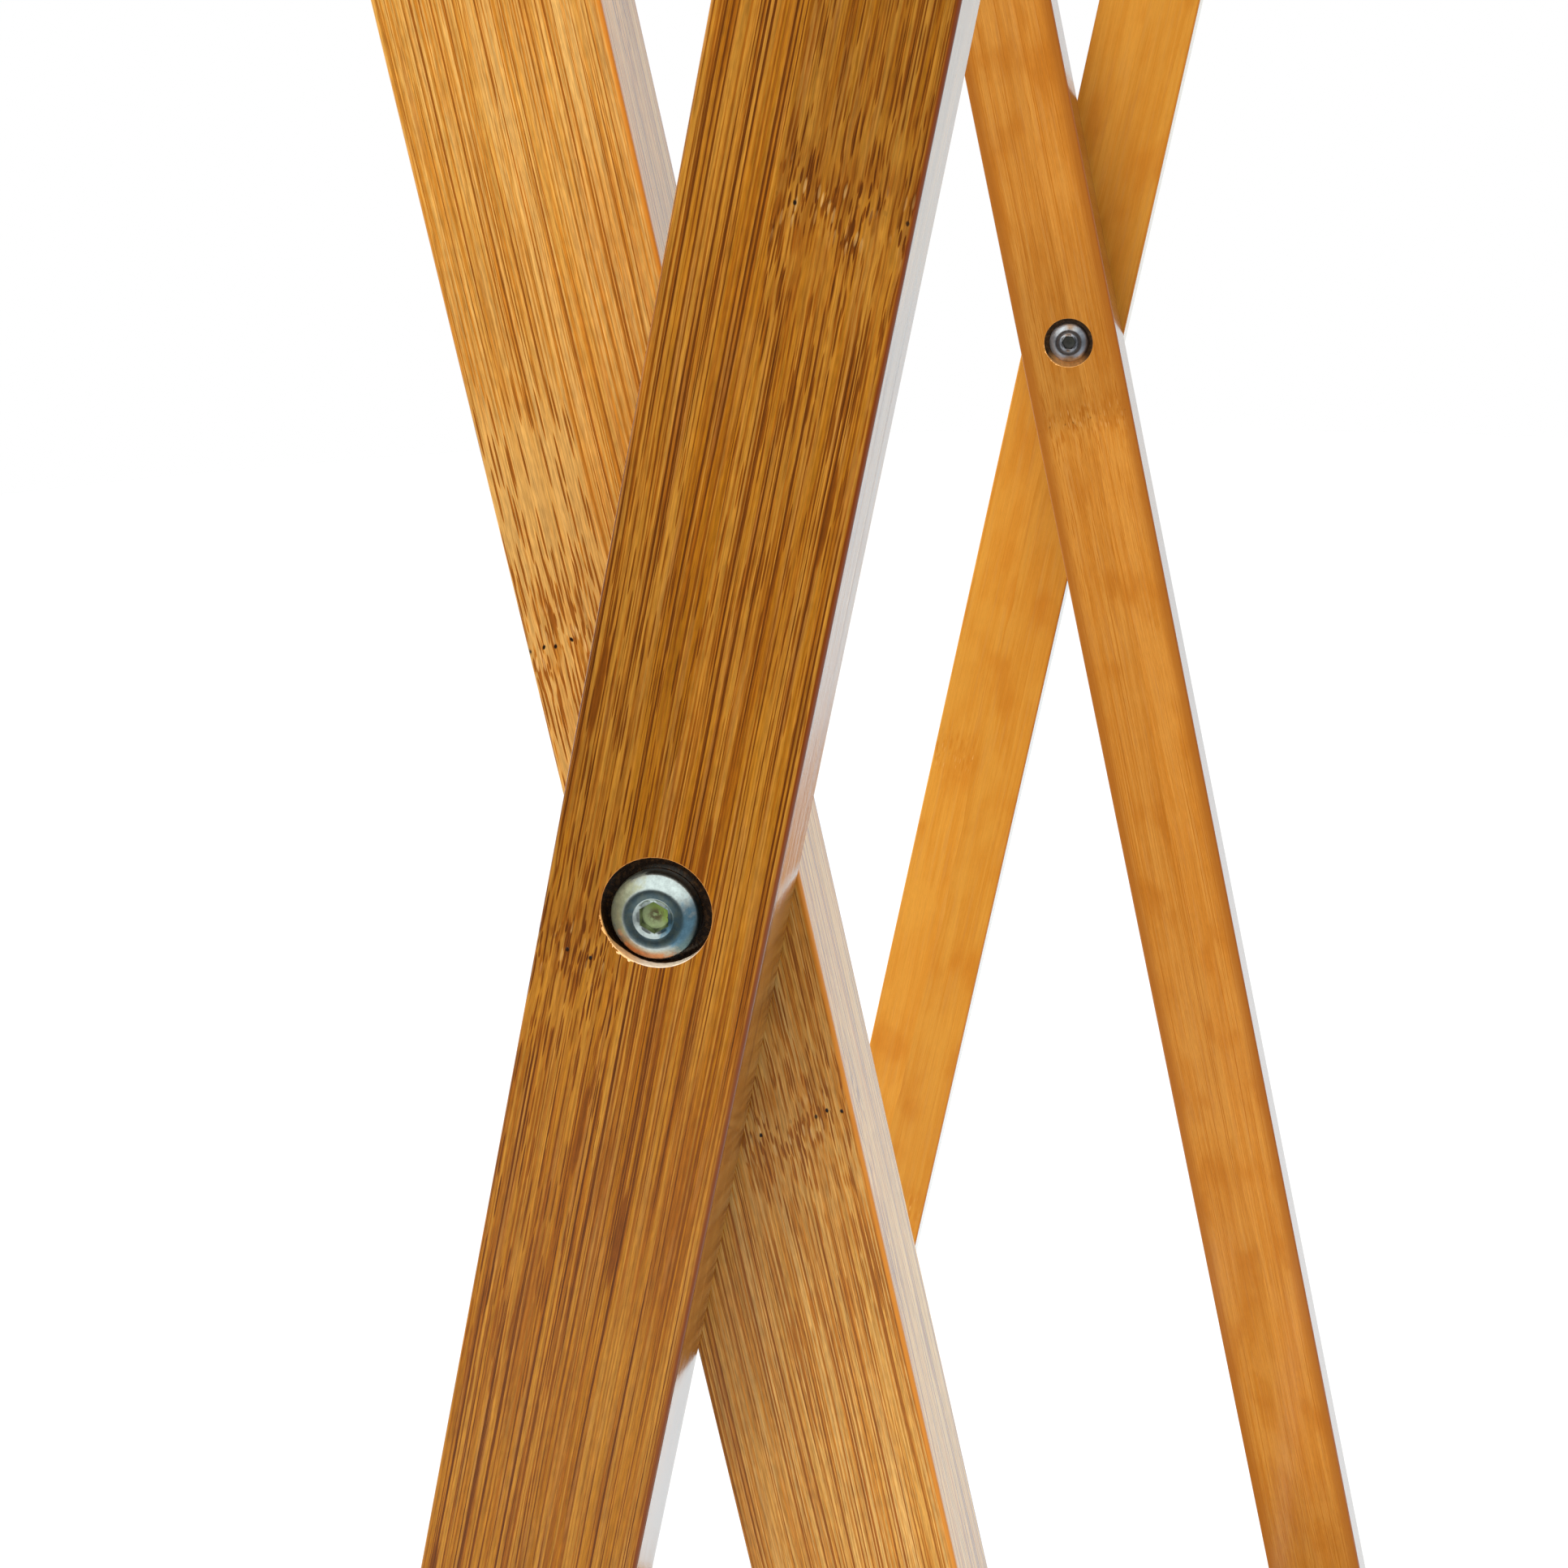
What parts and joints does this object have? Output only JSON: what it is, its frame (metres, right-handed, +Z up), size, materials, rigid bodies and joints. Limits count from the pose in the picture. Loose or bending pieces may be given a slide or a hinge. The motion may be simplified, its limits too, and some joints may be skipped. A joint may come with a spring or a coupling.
{
  "type": "folding ladder shelf",
  "caption": "Free-standing folding ladder shelf: two crossed, nested bamboo ladder frames pivot on sleeve bolts, and hinged slatted shelves flip up so that they close flat.",
  "frame": {"origin": "on the floor, under the middle of the shelf, halfway between the four feet", "axes": "+X along the shelf's width, +Y towards the side where the two upper shelves are hinged, +Z up"},
  "size_m": [0.634, 0.3196, 1.37],
  "materials": {
    "dark_bamboo": "carbonised strip bamboo under clear gloss lacquer",
    "light_bamboo": "lighter strip bamboo under clear gloss lacquer",
    "rung_bamboo": "turned bamboo under clear gloss lacquer",
    "slat_bamboo": "planed bamboo strip under clear gloss lacquer",
    "plated_steel": "blue-yellow zinc plate",
    "nylon": "natural nylon",
    "rubber": "dull black"
  },
  "bodies": {
    "inner_frame": {"inner_stile_left": "light_bamboo", "inner_stile_right": "light_bamboo", "inner_foot_rung": "rung_bamboo", "back_rung": "rung_bamboo", "inner_rung_bolts": "plated_steel", "inner_cross_nuts": "plated_steel", "inner_feet": "rubber"},
    "outer_frame": {"outer_stile_left": "dark_bamboo", "outer_stile_right": "dark_bamboo", "outer_foot_rung": "rung_bamboo", "bottom_rest_rung": "rung_bamboo", "middle_rest_rung": "rung_bamboo", "top_rest_rung": "rung_bamboo", "outer_rung_bolts": "plated_steel", "outer_cross_nuts": "plated_steel", "outer_feet": "rubber", "pivot_bolts": "plated_steel", "pivot_sleeve_nuts": "plated_steel", "pivot_washers": "nylon"},
    "top_shelf": {"top_rail_left": "slat_bamboo", "top_rail_right": "slat_bamboo", "top_hinge_bolts": "plated_steel", "top_hinge_sleeve_nuts": "plated_steel", "top_hinge_washers": "nylon", "top_slat_screws": "plated_steel", "top_slat_1": "slat_bamboo", "top_slat_2": "slat_bamboo", "top_slat_3": "slat_bamboo", "top_slat_4": "slat_bamboo", "top_slat_5": "slat_bamboo", "top_slat_6": "slat_bamboo", "top_slat_7": "slat_bamboo", "top_slat_8": "slat_bamboo"},
    "middle_shelf": {"middle_rail_left": "slat_bamboo", "middle_rail_right": "slat_bamboo", "middle_hinge_bolts": "plated_steel", "middle_hinge_sleeve_nuts": "plated_steel", "middle_hinge_washers": "nylon", "middle_slat_screws": "plated_steel", "middle_slat_1": "slat_bamboo", "middle_slat_2": "slat_bamboo", "middle_slat_3": "slat_bamboo", "middle_slat_4": "slat_bamboo", "middle_slat_5": "slat_bamboo"},
    "bottom_shelf": {"bottom_rail_left": "slat_bamboo", "bottom_rail_right": "slat_bamboo", "bottom_hinge_bolts": "plated_steel", "bottom_hinge_sleeve_nuts": "plated_steel", "bottom_hinge_washers": "nylon", "bottom_slat_screws": "plated_steel", "bottom_slat_1": "slat_bamboo", "bottom_slat_2": "slat_bamboo", "bottom_slat_3": "slat_bamboo", "bottom_slat_4": "slat_bamboo", "bottom_slat_5": "slat_bamboo", "bottom_slat_6": "slat_bamboo", "bottom_slat_7": "slat_bamboo"}
  },
  "joints": [
    {"name": "frame_fold", "type": "hinge", "parent": "inner_frame", "child": "outer_frame", "pos_m": [0, 0, 0.68], "axis": [-1, 0, 0], "range_deg": [0, 19.5]},
    {"name": "top_shelf_tilt", "type": "hinge", "parent": "inner_frame", "child": "top_shelf", "pos_m": [0, 0.13816, 1.33], "axis": [-1, 0, 0], "range_deg": [0, 102]},
    {"name": "middle_shelf_tilt", "type": "hinge", "parent": "inner_frame", "child": "middle_shelf", "pos_m": [0, 0.0744, 1.03], "axis": [-1, 0, 0], "range_deg": [0, 102]},
    {"name": "bottom_shelf_tilt", "type": "hinge", "parent": "inner_frame", "child": "bottom_shelf", "pos_m": [0, -0.10203, 0.2], "axis": [1, 0, 0], "range_deg": [0, 78]}
  ],
  "couplings": [
    {"joint": "top_shelf_tilt", "follows": "frame_fold", "ratio": 5.23},
    {"joint": "middle_shelf_tilt", "follows": "frame_fold", "ratio": 5.23},
    {"joint": "bottom_shelf_tilt", "follows": "frame_fold", "ratio": 4}
  ]
}
